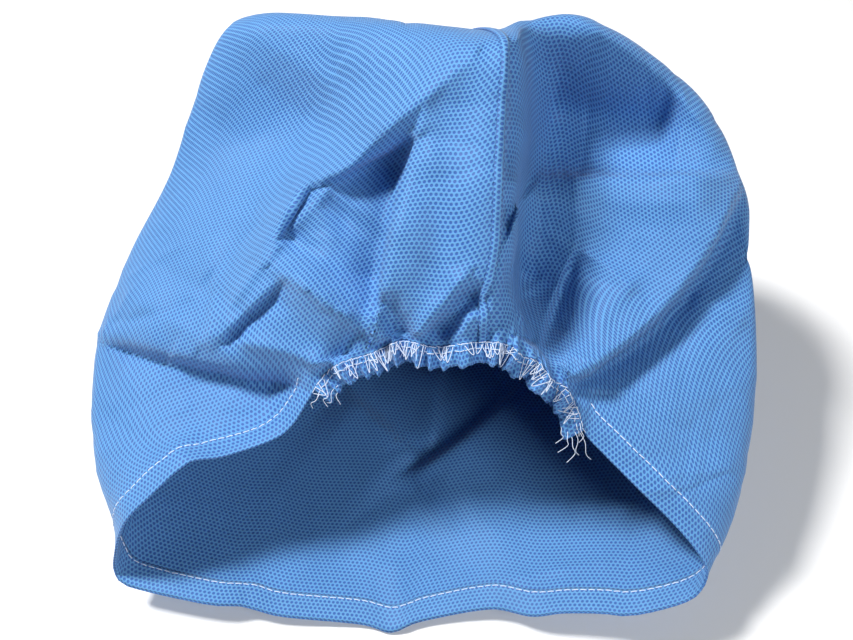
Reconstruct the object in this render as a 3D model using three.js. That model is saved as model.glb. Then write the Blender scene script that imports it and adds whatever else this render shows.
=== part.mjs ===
// A disposable surgical cap of blue nonwoven cloth, lying on its front panel with its mouth towards the
// viewer. Millimetres, +Z up, the floor at z = 0, the mouth towards -Y.
import * as THREE from "three";
import { mergeVertices } from "three/addons/utils/BufferGeometryUtils.js";

// Driving sizes
const CLOTH_THICKNESS = 1.0;
const PIECE_GAP = 0.35;
const HEM_WIDTH = 10.5;
const HEM_THICKNESS = 1.0;
const SEAM_STRIP_WIDTH = 3.0;
const SEAM_STRIP_THICKNESS = 1.2;
const SEAM_STRIP_GAP = 0.6;
const SEAM_STRIP_FROM = 0.05;
const SEAM_STRIP_TO = 0.9;
const BAND_WIDTH = 8.0;
const BAND_THICKNESS = 1.2;
const BAND_BULGE = 0.8;
const BAND_GAP = 0.95;

// The middle of the cap's footprint, as it is drawn here: the part's frame has its zero there
const CENTRE = new THREE.Vector3(-6, 23, 0);

// The viewer for whom the folds are laid out: they are given across and up, in the plane that faces
// this eye at FACING_DISTANCE, and they rise towards it
const EYE = new THREE.Vector3(0, -200, 355);
const LOOKING_DOWN = THREE.MathUtils.degToRad(53);
const FACING_DISTANCE = 343;
const LOOKING = new THREE.Vector3(0, Math.cos(LOOKING_DOWN), -Math.sin(LOOKING_DOWN));
const UPWARD = new THREE.Vector3(0, Math.sin(LOOKING_DOWN), Math.cos(LOOKING_DOWN));

// The bag is lofted through its sections, from the mouth to the closed end. Each section is a loop of
// points, one on each rail, named by where it lies on the cap as it rests: front is underneath, on the
// floor, and seam is on top.
const RAILS = [
  "front", "frontLeft", "leftCorner", "left", "backLeft",
  "seam", "seamFoot", "backRight", "right", "rightCorner", "frontRight",
];
const SEAM_RAIL = RAILS.indexOf("seam");
const SECTIONS = [
  {
    name: "mouth",
    front: [-12, -84, 1], frontLeft: [-75, -78, 10], leftCorner: [-119, -67, 19], left: [-104, -55, 52],
    backLeft: [-44, -24, 74], seam: [18, -20, 101], seamFoot: [40, -23, 91], backRight: [58, -35, 67],
    right: [88, -61, 50], rightCorner: [101, -79, 34], frontRight: [60, -82, 15],
  },
  {
    name: "brow",
    front: [-9, -50, 0], frontLeft: [-70, -42, 4], leftCorner: [-113, -38, 20], left: [-126, -26, 46],
    backLeft: [-58, -14, 80], seam: [18, -11, 115], seamFoot: [37, 2, 88], backRight: [66, -16, 82],
    right: [109, -46, 61], rightCorner: [108, -56, 32], frontRight: [66, -48, 10],
  },
  {
    name: "temples",
    front: [-5, -15, 0], frontLeft: [-68, -8, 2], leftCorner: [-112, 2, 24], left: [-131, 13, 58],
    backLeft: [-64, 0, 102], seam: [21, 0, 128], seamFoot: [36, 24, 88], backRight: [66, 12, 92],
    right: [119, -10, 78], rightCorner: [112, -18, 42], frontRight: [68, -14, 8],
  },
  {
    name: "crown start",
    front: [0, 20, 0], frontLeft: [-62, 26, 3], leftCorner: [-102, 34, 36], left: [-120, 43, 76],
    backLeft: [-50, 24, 121], seam: [22, 16, 144], seamFoot: [39, 41, 108], backRight: [66, 36, 98],
    right: [118, 27, 104], rightCorner: [111, 22, 58], frontRight: [66, 20, 8],
  },
  {
    name: "crown",
    front: [3, 55, 0], frontLeft: [-54, 60, 8], leftCorner: [-90, 68, 54], left: [-103, 71, 96],
    backLeft: [-36, 54, 134], seam: [23, 34, 158], seamFoot: [41, 57, 134], backRight: [66, 59, 124],
    right: [118, 49, 113], rightCorner: [108, 56, 70], frontRight: [62, 55, 10],
  },
  {
    name: "ridge",
    front: [5, 88, 3], frontLeft: [-46, 94, 22], leftCorner: [-76, 103, 80], left: [-80, 108, 135],
    backLeft: [-27, 84, 153], seam: [24, 54, 170], seamFoot: [36, 74, 162], backRight: [64, 80, 157],
    right: [105, 80, 124], rightCorner: [98, 86, 84], frontRight: [52, 88, 18],
  },
  {
    name: "far slope",
    front: [6, 110, 14], frontLeft: [-30, 116, 42], leftCorner: [-52, 122, 82], left: [-58, 124, 118],
    backLeft: [-24, 108, 140], seam: [16, 88, 150], seamFoot: [30, 98, 142], backRight: [50, 103, 136],
    right: [80, 98, 110], rightCorner: [74, 110, 76], frontRight: [40, 110, 38],
  },
  {
    name: "closed end",
    front: [6, 120, 32], frontLeft: [5, 126, 50], leftCorner: [5, 129, 70], left: [6, 129, 88],
    backLeft: [8, 125, 104], seam: [10, 117, 118], seamFoot: [9, 121, 112], backRight: [8, 125, 104],
    right: [6, 129, 88], rightCorner: [5, 129, 70], frontRight: [5, 126, 50],
  },
];

// The wavy edge of the cloth at the mouth, round from the middle of the front. Along the nape, between
// backLeft and backRight, it is the line where the elastic band is sewn on.
const RIM = [
  { around: 0, at: [-13.5, -84, 0.5] }, { around: 0.25, at: [-25.5, -81.4, 2] },
  { around: 0.65, at: [-55.6, -79.7, 6] }, { around: 0.9, at: [-69.7, -76.9, 9] },
  { around: 1.15, at: [-83.3, -77.2, 12] }, { around: 1.75, at: [-113, -71.5, 15] },
  { around: 1.93, at: [-118.2, -68.3, 17.5] }, { around: 2.05, at: [-119, -66.6, 22] },
  { around: 2.3, at: [-116.3, -64.8, 31] }, { around: 2.55, at: [-112.8, -62.3, 40.5] },
  { around: 2.8, at: [-109, -59.6, 47.5] }, { around: 3, at: [-104.6, -56.3, 51.5] },
  { around: 3.15, at: [-97, -50.8, 55.5] }, { around: 3.33, at: [-88.7, -44.3, 59] },
  { around: 3.42, at: [-84.3, -41.5, 60] }, { around: 3.6, at: [-72.8, -39, 59.5] },
  { around: 3.8, at: [-56.2, -34, 62] }, { around: 3.9, at: [-49, -29.6, 65] },
  { around: 4, at: [-43, -24.2, 73] }, { around: 4.1, at: [-37.2, -19.8, 81.5] },
  { around: 4.22, at: [-30.2, -17.5, 87.5] }, { around: 4.42, at: [-19.3, -16.6, 92] },
  { around: 4.62, at: [-8.5, -14.5, 96.5] }, { around: 4.81, at: [3.1, -18.4, 98.5] },
  { around: 5, at: [17.5, -19, 102.2] }, { around: 5.4, at: [27.6, -19, 100.7] },
  { around: 5.7, at: [32.8, -20.9, 96.8] }, { around: 5.95, at: [38.7, -21.5, 93.5] },
  { around: 6.2, at: [43.7, -23.9, 87] }, { around: 6.45, at: [49.1, -24.8, 82.5] },
  { around: 6.75, at: [54, -28.9, 74.5] }, { around: 7, at: [57.5, -34.4, 66.6] },
  { around: 7.25, at: [64.2, -40.3, 62] }, { around: 7.6, at: [76.1, -50.8, 56] },
  { around: 8, at: [87.7, -60.7, 50] }, { around: 8.4, at: [96.3, -68.7, 44] },
  { around: 8.75, at: [101, -74.1, 38] }, { around: 9, at: [100, -78.5, 33] },
  { around: 9.25, at: [94, -82.2, 28] }, { around: 9.65, at: [76.3, -84.2, 20] },
  { around: 9.85, at: [64.8, -82.4, 17] }, { around: 10.1, at: [51.1, -81.3, 14] },
  { around: 10.3, at: [39.8, -81.1, 10] }, { around: 10.55, at: [24.2, -77.4, 7] },
  { around: 10.85, at: [-2.3, -80.5, 2.5] },
];
// How far along the cap the wavy edge is felt, in sections, and the least share of it that is worked out
const RIM_REACH = 0.55;
const RIM_LEAST = 0.001;

// The elastic gathers the nape between these two places, and bunches it into ruffles
const NAPE_FROM = 4.05;
const NAPE_TO = 6.95;
const SEAM_AT_NAPE = 0.55;
const GATHER_COUNT = 10;
const GATHER_DEPTH = 1.7;
const GATHER_REACH = 0.45;
const GATHER_FADE = [-0.02, 0.06];
const BAND_RUFFLE = 2.0;
const BAND_STANDS_OUT = 1.3;

// Folds of the back and sides, laid out as the viewer sees them. Each runs from one place to another,
// bowed sideways by bow in its middle. The cloth rises by rise, or sinks where that is less than 0, and
// falls away over a width on each side, left and right as one goes from the start to the end. A step
// rises on its left side alone, over the width of its step.
const FOLD_COLUMNS = ["name", "from", "to", "bow", "rise", "left", "right", "step"];
const FOLDS = [
  ["puff brow left", [16.5, 97.5], [-82.1, -7.5], -6, 9, 16, 16],
  ["left panel hollow", [-36, 90], [-90.4, -3.8], -3, -14, 20, 24],
  ["pocket below the brow", [-4.1, 69.8], [-56.2, 34.5], 2, -14, 34, 9, 6],
  ["pocket beside the seam strip", [-19.5, 0.8], [-3, 67.5], 1.5, -8, 16, 9, 4],
  ["seam strip edge", [-19.5, 0.8], [-3, 67.5], 1.5, 4, 5, 9],
  ["seam strip hollow", [10.9, 78.8], [2.2, 0], 0, -3, 8, 8],
  ["spur in the left puff", [-55.5, 18.8], [-22.9, -3.8], 3, 5, 7, 9],
  ["left puff", [-71.6, -3.8], [-36, -19.5], 0, 4, 14, 10],
  ["hem hollow left", [-122.2, -12], [-47.2, -27], -3, -11, 13, 14],
  ["nape pleat 1", [15.4, 17.2], [-5.2, -8.2], 0, 4.5, 4, 5],
  ["nape pleat 2", [18, 3], [3.8, -12.8], 0, 3.5, 4, 4],
  ["nape pleat 3", [-20.6, 3], [-15, -12], 0, 3, 3, 3],
  ["seam foot low", [31, 51.8], [24.2, -9.4], 1, -20, 14, 9, 5],
  ["seam foot high", [32.5, 103.5], [31, 54], 0, -8, 13, 9, 4],
  ["right puff brow", [61.5, 51], [29.2, 51], 3, 8, 26, 9, 4],
  ["right strip edge", [40.5, 54], [22.9, -3.8], -3, 6, 14, 9, 4],
  ["right strip fold", [56.6, 27.4], [43.5, -9], -2, -8, 13, 9, 4],
  ["right overhang", [118.1, 50.2], [47.2, -26.2], 11, -8, 16, 9, 6],
  ["right puff rim", [118.1, 50.2], [47.2, -26.2], 11, 6, 6, 22],
  ["right shoulder", [55.5, 113.2], [107.2, 67.5], 5, 4, 12, 18],
].map((row) => Object.fromEntries(row.map((value, index) => [FOLD_COLUMNS[index], value])));
// A fold begins and ends at this share of its rise, and dies out beyond its ends over this share of its width
const FOLD_END_RISE = 0.35;
const FOLD_END_REACH = 0.5;
// The folds fade in and out round the cap over these two spans, and out towards the closed end over the third
const FOLDS_START = [2.6, 3.2];
const FOLDS_END = [7.9, 8.5];
const FOLDS_FADE_ALONG = [4.9, 5.6];
// The hem and the elastic hold the edge of the mouth, so that the folds open over this span behind it
const FOLDS_OPEN_ALONG = [0, 0.8];

// One span of a smooth curve through four values, at t from the second to the third
function smoothSpan(before, start, end, after, t) {
  const bend = 2 * before - 5 * start + 4 * end - after;
  const twist = 3 * (start - end) + after - before;
  return start + 0.5 * t * (end - before + t * (bend + t * twist));
}

const SECTION_POINTS = SECTIONS.map((section) => RAILS.map((rail) => section[rail]));

// The loop of a whole-numbered section at a place round the cap, 0 to 11 in rails
function loopPoint(section, around) {
  const row = SECTION_POINTS[section];
  const rail = Math.floor(around);
  const at = (offset) => row[(rail + offset + 2 * RAILS.length) % RAILS.length];
  return [0, 1, 2].map((axis) => smoothSpan(
    at(-1)[axis], at(0)[axis], at(1)[axis], at(2)[axis], around - rail));
}

// A point of the smooth bag: around is 0 to 11 in rails, along is 0 to 7 in sections
function smoothPoint(around, along) {
  const last = SECTIONS.length - 1;
  const start = Math.min(Math.floor(along), last - 1);
  const loops = [start, start + 1].map((section) => loopPoint(section, around));
  const mirrored = (near, far) => near.map((value, axis) => 2 * value - far[axis]);
  const before = start > 0 ? loopPoint(start - 1, around) : mirrored(loops[0], loops[1]);
  const after = start + 2 <= last ? loopPoint(start + 2, around) : mirrored(loops[1], loops[0]);
  return new THREE.Vector3(...[0, 1, 2].map((axis) => smoothSpan(
    before[axis], loops[0][axis], loops[1][axis], after[axis], along - start)));
}

// The edge of the cloth at the mouth, at a place round the cap
function rimPoint(around) {
  const turn = RAILS.length;
  const place = ((around % turn) + turn) % turn;
  let index = RIM.length - 1;
  while (RIM[index].around > place) index -= 1;
  const knot = (offset) => {
    const wrapped = (index + offset + RIM.length) % RIM.length;
    const laps = Math.floor((index + offset) / RIM.length);
    return { around: RIM[wrapped].around + laps * turn, at: RIM[wrapped].at };
  };
  const [before, start, end, after] = [knot(-1), knot(0), knot(1), knot(2)];
  const t = (place - start.around) / (end.around - start.around);
  return new THREE.Vector3(...[0, 1, 2].map((axis) => smoothSpan(
    before.at[axis], start.at[axis], end.at[axis], after.at[axis], t)));
}

// Where the viewer sees a point: across and up in the facing plane
function seenAt(point) {
  const ray = point.clone().sub(EYE);
  const scale = FACING_DISTANCE / ray.dot(LOOKING);
  return [ray.x * scale, ray.dot(UPWARD) * scale];
}

function foldRise(fold, across, up) {
  const [fromAcross, fromUp] = fold.from;
  const runAcross = fold.to[0] - fromAcross;
  const runUp = fold.to[1] - fromUp;
  const length = Math.hypot(runAcross, runUp);
  const [dirAcross, dirUp] = [runAcross / length, runUp / length];
  const offAcross = across - fromAcross;
  const offUp = up - fromUp;
  const t = (offAcross * dirAcross + offUp * dirUp) / length;
  const middle = THREE.MathUtils.clamp(t, 0, 1);
  const arch = 4 * middle * (1 - middle);
  const aside = offUp * dirAcross - offAcross * dirUp - fold.bow * arch;
  const width = aside > 0 ? fold.left : fold.right;
  const beyond = Math.max(-t, t - 1, 0) * length;
  const ends = Math.exp(-((beyond / (FOLD_END_REACH * width)) ** 2)) * Math.min(1, FOLD_END_RISE + arch);
  const fall = Math.exp(-((aside / width) ** 2));
  const side = fold.step ? 0.5 * (1 + Math.tanh(aside / fold.step)) : 1;
  return fold.rise * ends * fall * side;
}

// How much of the folds a place on the bag takes: all of it on the back, none of it underneath
function foldShare(around, along) {
  const from = THREE.MathUtils.smoothstep(around, ...FOLDS_START);
  const to = 1 - THREE.MathUtils.smoothstep(around, ...FOLDS_END);
  return from * to * (1 - THREE.MathUtils.smoothstep(along, ...FOLDS_FADE_ALONG));
}

// The gathers: how far round the nape a place is, from 0 at the left end of the elastic to 1 at its right
function napeShare(around) {
  const left = (around - NAPE_FROM) / (SEAM_RAIL - NAPE_FROM);
  const right = (around - SEAM_RAIL) / (NAPE_TO - SEAM_RAIL);
  return around < SEAM_RAIL ? SEAM_AT_NAPE * left : SEAM_AT_NAPE + (1 - SEAM_AT_NAPE) * right;
}

function gatherRise(around, along) {
  const share = napeShare(around);
  const inside = Math.min(share, 1 - share);
  const ends = THREE.MathUtils.smoothstep(inside, ...GATHER_FADE);
  const wave = Math.cos(2 * Math.PI * GATHER_COUNT * share);
  return GATHER_DEPTH * ends * wave * Math.exp(-along / GATHER_REACH);
}

// A point of the cloth's outer face, with the wavy edge, the folds and the gathers
function clothPoint(around, along) {
  const point = smoothPoint(around, along);
  const rimShare = Math.exp(-((along / RIM_REACH) ** 2));
  if (rimShare > RIM_LEAST) {
    point.addScaledVector(rimPoint(around).sub(smoothPoint(around, 0)), rimShare);
  }
  const share = foldShare(around, along);
  if (share > 0) {
    const [across, up] = seenAt(point);
    const folded = FOLDS.reduce((sum, fold) => sum + foldRise(fold, across, up), 0);
    const opened = THREE.MathUtils.smoothstep(along, ...FOLDS_OPEN_ALONG);
    const rise = folded * opened + gatherRise(around, along);
    point.addScaledVector(EYE.clone().sub(point).normalize(), rise * share);
  }
  point.z = Math.max(point.z, 0);
  return point;
}

// Steps in which a distance on the cloth is measured, in sections and in rails
const ALONG_STEP = 0.02;
const AROUND_STEP = 0.01;

// How far along the cloth lies at a distance from the mouth, and how far round from the seam
function alongAtDistance(around, distance) {
  let [along, travelled] = [0, 0];
  let here = clothPoint(around, 0);
  while (travelled < distance) {
    const next = clothPoint(around, along + ALONG_STEP);
    travelled += next.distanceTo(here);
    here = next;
    along += ALONG_STEP;
  }
  return along;
}

function aroundBesideSeam(along, distance) {
  let [around, travelled] = [SEAM_RAIL, 0];
  let here = clothPoint(around, along);
  while (travelled < distance) {
    const next = clothPoint(around + AROUND_STEP, along);
    travelled += next.distanceTo(here);
    here = next;
    around += AROUND_STEP;
  }
  return around;
}

// The columns and rows at which the cloth is drawn. The first row after the edge is at the hem's width,
// and the first column after the seam at the seam strip's, so that hem and strip lie on the same facets.
const PAST_SEAM_STRIP = 5.3;
const COLUMNS = [
  { from: 0, to: 3, steps: 11 },
  { from: 3, to: NAPE_FROM, steps: 14 },
  { from: NAPE_FROM, to: SEAM_RAIL, steps: 20 },
  { from: SEAM_RAIL, to: PAST_SEAM_STRIP, steps: 2 },
  { from: PAST_SEAM_STRIP, to: NAPE_TO, steps: 18 },
  { from: NAPE_TO, to: 8, steps: 14 },
  { from: 8, to: RAILS.length, steps: 11 },
];
const ROWS = 26;
const LAST_ALONG = SECTIONS.length - 1;
const columnPlaces = COLUMNS.flatMap(({ from, to, steps }) => (
  Array.from({ length: steps }, (_, step) => from + ((to - from) * step) / steps)));
const NAPE_START_COLUMN = columnPlaces.indexOf(NAPE_FROM);
const SEAM_COLUMN = columnPlaces.indexOf(SEAM_RAIL);
const NAPE_END_COLUMN = columnPlaces.indexOf(NAPE_TO);
const columnCount = columnPlaces.length;

function drawnPoint(column, row) {
  const hemAlong = alongAtDistance(columnPlaces[column], HEM_WIDTH);
  const along = row === 0 ? 0 : hemAlong + ((LAST_ALONG - hemAlong) * (row - 1)) / (ROWS - 1);
  const beside = column === SEAM_COLUMN + 1;
  return clothPoint(beside ? aroundBesideSeam(along, SEAM_STRIP_WIDTH) : columnPlaces[column], along);
}

const outerFace = Array.from({ length: ROWS + 1 }, (_, row) => (
  Array.from({ length: columnCount }, (_unused, column) => drawnPoint(column, row))));

// At the closed end the left and right halves meet: each pair of points becomes one
function zipEnd(face, row) {
  for (let column = 1; column < columnCount / 2; column += 1) {
    const pair = face[row][column].clone().add(face[row][columnCount - column]).multiplyScalar(0.5);
    face[row][column] = pair;
    face[row][columnCount - column] = pair.clone();
  }
}
zipEnd(outerFace, ROWS);

// The outward normal of the drawn face at a point, from the points about it
function faceNormal(column, row) {
  const left = outerFace[row][(column + columnCount - 1) % columnCount];
  const right = outerFace[row][(column + 1) % columnCount];
  const nearer = outerFace[Math.max(row - 1, 0)][column];
  const farther = outerFace[Math.min(row + 1, ROWS)][column];
  const roundwards = right.clone().sub(left);
  return roundwards.cross(farther.clone().sub(nearer)).normalize();
}

// The walls are built on these normals evened out over a few columns each way, so that the inner face
// follows the outer one round a tight pleat without crossing it
const NORMAL_EVENED = 3;
const faceNormals = outerFace.map((line, row) => line.map((_, column) => faceNormal(column, row)));
const normals = faceNormals.map((line) => line.map((_, column) => {
  const sum = new THREE.Vector3();
  for (let near = column - NORMAL_EVENED; near <= column + NORMAL_EVENED; near += 1) {
    sum.add(line[(near + columnCount) % columnCount]);
  }
  return sum.normalize();
}));
function offsetPoint(column, row, distance) {
  const place = column % columnCount;
  return outerFace[row][place].clone().addScaledVector(normals[row][place], distance);
}

// The inner face stops a little before the closed end, where it is zipped in the same way
const INNER_ROWS = ROWS - 1;
const innerFace = Array.from({ length: INNER_ROWS + 1 }, (_, row) => (
  Array.from({ length: columnCount }, (_unused, column) => offsetPoint(column, row, -CLOTH_THICKNESS))));

const SAME_POINT = 1e-4;

// Builds a closed geometry from triangles whose corners are points
class Skin {
  constructor() {
    this.corners = [];
  }

  quad(a, b, c, d) {
    this.corners.push(a, b, c, a, c, d);
  }

  // The quads between two lines of points that run the same way
  between(first, second, closed) {
    const count = closed ? first.length : first.length - 1;
    for (let i = 0; i < count; i += 1) {
      const next = (i + 1) % first.length;
      this.quad(first[i], first[next], second[next], second[i]);
    }
  }

  geometry() {
    const solid = new THREE.BufferGeometry().setFromPoints(this.corners);
    const merged = mergeVertices(solid, SAME_POINT);
    const kept = [];
    const index = merged.index.array;
    for (let i = 0; i < index.length; i += 3) {
      const [a, b, c] = [index[i], index[i + 1], index[i + 2]];
      if (a !== b && b !== c && c !== a) {
        kept.push(a, b, c);
      }
    }
    merged.setIndex(kept);
    merged.computeVertexNormals();
    return merged;
  }
}

// A bar swept through a list of loops, each a closed cross-section, with flat ends
function sweptBar(loops) {
  const skin = new Skin();
  for (let i = 0; i + 1 < loops.length; i += 1) {
    skin.between(loops[i + 1], loops[i], true);
  }
  const [first, last] = [loops[0], loops[loops.length - 1]];
  for (let i = 1; i + 1 < first.length; i += 1) {
    skin.corners.push(first[0], first[i], first[i + 1]);
    skin.corners.push(last[0], last[i + 1], last[i]);
  }
  return skin.geometry();
}

const NONWOVEN_BLUE = "#4f8fd0";
const INNER_BLUE = "#4a86c8";
const BAND_WHITE = "#dfe7f2";
const CLOTH_ROUGHNESS = 0.85;
const BAND_ROUGHNESS = 0.9;

function piece(name, geometry, colour, roughness) {
  const material = new THREE.MeshStandardMaterial({ color: colour, roughness, metalness: 0 });
  const mesh = new THREE.Mesh(geometry, material);
  mesh.name = name;
  return mesh;
}

function bodyGeometry() {
  const skin = new Skin();
  for (let row = 0; row < ROWS; row += 1) {
    skin.between(outerFace[row], outerFace[row + 1], true);
  }
  for (let row = 0; row < INNER_ROWS; row += 1) {
    skin.between(innerFace[row + 1], innerFace[row], true);
  }
  skin.between(innerFace[0], outerFace[0], true);
  return skin.geometry();
}

zipEnd(innerFace, INNER_ROWS);

// The hem is turned in, from the right end of the elastic round the front to its left end
function hemGeometry() {
  const nearFace = -(CLOTH_THICKNESS + PIECE_GAP);
  const farFace = nearFace - HEM_THICKNESS;
  const loops = [];
  const start = NAPE_END_COLUMN + 1;
  const end = columnCount + NAPE_START_COLUMN - 1;
  for (let column = start; column <= end; column += 1) {
    loops.push([
      offsetPoint(column, 0, nearFace), offsetPoint(column, 1, nearFace),
      offsetPoint(column, 1, farFace), offsetPoint(column, 0, farFace),
    ]);
  }
  return sweptBar(loops);
}

// The seam allowance is laid to the right of the seam and runs from the nape over the ridge
function seamStripGeometry() {
  const loops = [];
  const across = (row, share, height) => (
    offsetPoint(SEAM_COLUMN, row, height).lerp(offsetPoint(SEAM_COLUMN + 1, row, height), share));
  const top = SEAM_STRIP_GAP + SEAM_STRIP_THICKNESS;
  for (let row = 0; row < ROWS; row += 1) {
    loops.push([
      across(row, SEAM_STRIP_FROM, SEAM_STRIP_GAP), across(row, SEAM_STRIP_TO, SEAM_STRIP_GAP),
      across(row, SEAM_STRIP_TO, top), across(row, SEAM_STRIP_FROM, top),
    ]);
  }
  return sweptBar(loops);
}

// The elastic channel's own directions at a place on the edge: downwards is square to the edge as the
// viewer sees it, and outwards is towards the viewer
const BAND_SPAN = 0.15;
function bandDirections(around) {
  const run = rimPoint(around + BAND_SPAN).sub(rimPoint(around - BAND_SPAN));
  const downwards = LOOKING.clone().cross(run).normalize();
  const outwards = downwards.clone().cross(run).normalize();
  return { downwards, outwards };
}

// The elastic channel goes on from the edge of the cloth, bunched with it: in each ruffle its foot is
// drawn up and stands out
function napeBandGeometry() {
  const loops = [];
  for (let column = NAPE_START_COLUMN; column <= NAPE_END_COLUMN; column += 1) {
    const around = columnPlaces[column];
    const ruffle = 0.5 - 0.5 * Math.cos(2 * Math.PI * GATHER_COUNT * napeShare(around));
    const { downwards, outwards } = bandDirections(around);
    const top = outerFace[0][column].clone().addScaledVector(downwards, BAND_GAP);
    const foot = top.clone().addScaledVector(downwards, BAND_WIDTH - BAND_RUFFLE * ruffle);
    foot.addScaledVector(outwards, BAND_STANDS_OUT * ruffle);
    const middle = top.clone().lerp(foot, 0.5);
    loops.push([
      top.clone().addScaledVector(outwards, -BAND_THICKNESS),
      foot.clone().addScaledVector(outwards, -BAND_THICKNESS),
      foot, middle.addScaledVector(outwards, BAND_BULGE), top,
    ]);
  }
  return sweptBar(loops);
}

const cap = new THREE.Group();
cap.add(
  piece("cap_body", bodyGeometry(), NONWOVEN_BLUE, CLOTH_ROUGHNESS),
  piece("front_hem", hemGeometry(), INNER_BLUE, CLOTH_ROUGHNESS),
  piece("crown_seam", seamStripGeometry(), NONWOVEN_BLUE, CLOTH_ROUGHNESS),
  piece("nape_band", napeBandGeometry(), BAND_WHITE, BAND_ROUGHNESS),
);
cap.position.copy(CENTRE).negate();
export default cap;
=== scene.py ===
import math

import bmesh
import bpy
import numpy as np
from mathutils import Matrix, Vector


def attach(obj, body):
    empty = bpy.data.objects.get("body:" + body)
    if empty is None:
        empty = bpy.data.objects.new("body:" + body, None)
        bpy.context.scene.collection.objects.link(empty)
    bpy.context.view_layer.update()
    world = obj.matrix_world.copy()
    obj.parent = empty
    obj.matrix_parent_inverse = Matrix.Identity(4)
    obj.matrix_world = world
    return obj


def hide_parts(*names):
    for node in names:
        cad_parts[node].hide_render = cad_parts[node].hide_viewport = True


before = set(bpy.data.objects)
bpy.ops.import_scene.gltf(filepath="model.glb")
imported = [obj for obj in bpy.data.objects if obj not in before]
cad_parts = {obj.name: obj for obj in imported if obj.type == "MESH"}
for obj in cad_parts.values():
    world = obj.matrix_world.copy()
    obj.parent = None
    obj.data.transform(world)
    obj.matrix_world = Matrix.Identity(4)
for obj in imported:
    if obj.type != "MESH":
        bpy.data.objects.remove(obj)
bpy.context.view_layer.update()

# Cap body: one bag of spunbonded polypropylene cloth, cut flat, sewn along the crown and drawn together at
# the nape. It is limp and papery, holds its creases, and lies on its front panel with the mouth open.
MM = 0.001
CENTRE = np.array([-6.0, 23.0, 0.0])
CLOTH_THICKNESS = 0.45

# The viewer for whom the folds are laid out: across and up are measured in the plane that faces this eye
EYE = np.array([0.0, -200.0, 355.0])
LOOKING_DOWN = math.radians(53)
LOOKING = np.array([0.0, math.cos(LOOKING_DOWN), -math.sin(LOOKING_DOWN)])
UPWARD = np.array([0.0, math.sin(LOOKING_DOWN), math.cos(LOOKING_DOWN)])
FACING_DISTANCE = 343.0

# The bag is lofted through these sections, from the mouth to the closed end, each a loop with a point on
# every rail. Front lies on the floor and seam is on top.
RAILS = (
    "front", "frontLeft", "leftCorner", "left", "backLeft",
    "seam", "seamFoot", "backRight", "right", "rightCorner", "frontRight",
)
SEAM_RAIL = RAILS.index("seam")
SECTIONS = {
    "mouth": (
        (-12, -84, 1), (-75, -78, 10), (-119, -67, 19), (-104, -55, 52), (-44, -24, 74), (18, -20, 101),
        (40, -23, 91), (58, -35, 67), (88, -61, 50), (101, -79, 34), (60, -82, 15),
    ),
    "brow": (
        (-9, -50, 0), (-70, -42, 4), (-113, -38, 20), (-126, -26, 46), (-58, -14, 80), (18, -11, 115),
        (37, 2, 88), (66, -16, 82), (109, -46, 61), (108, -56, 32), (66, -48, 10),
    ),
    "temples": (
        (-5, -15, 0), (-68, -8, 2), (-112, 2, 24), (-131, 13, 58), (-64, 0, 102), (21, 0, 128),
        (36, 24, 88), (66, 12, 92), (119, -10, 78), (112, -18, 42), (68, -14, 8),
    ),
    "crown start": (
        (0, 20, 0), (-62, 26, 3), (-102, 34, 36), (-120, 43, 76), (-50, 24, 121), (22, 16, 144),
        (39, 41, 108), (66, 36, 98), (118, 27, 104), (111, 22, 58), (66, 20, 8),
    ),
    "crown": (
        (3, 55, 0), (-54, 60, 8), (-90, 68, 54), (-103, 71, 96), (-36, 54, 134), (23, 34, 158),
        (41, 57, 134), (66, 59, 124), (118, 49, 113), (108, 56, 70), (62, 55, 10),
    ),
    "ridge": (
        (5, 88, 3), (-46, 94, 22), (-76, 103, 80), (-80, 108, 135), (-27, 84, 153), (24, 54, 170),
        (36, 74, 162), (64, 80, 157), (105, 80, 124), (98, 86, 84), (52, 88, 18),
    ),
    "far slope": (
        (6, 110, 14), (-30, 116, 42), (-52, 122, 82), (-58, 124, 118), (-24, 108, 140), (16, 88, 150),
        (30, 98, 142), (50, 103, 136), (80, 98, 110), (74, 110, 76), (40, 110, 38),
    ),
    "closed end": (
        (6, 120, 32), (5, 126, 50), (5, 129, 70), (6, 129, 88), (8, 125, 104), (10, 117, 118),
        (9, 121, 112), (8, 125, 104), (6, 129, 88), (5, 129, 70), (5, 126, 50),
    ),
}
SECTION_POINTS = np.array(list(SECTIONS.values()), dtype=float)
LAST_ALONG = len(SECTIONS) - 1

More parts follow.
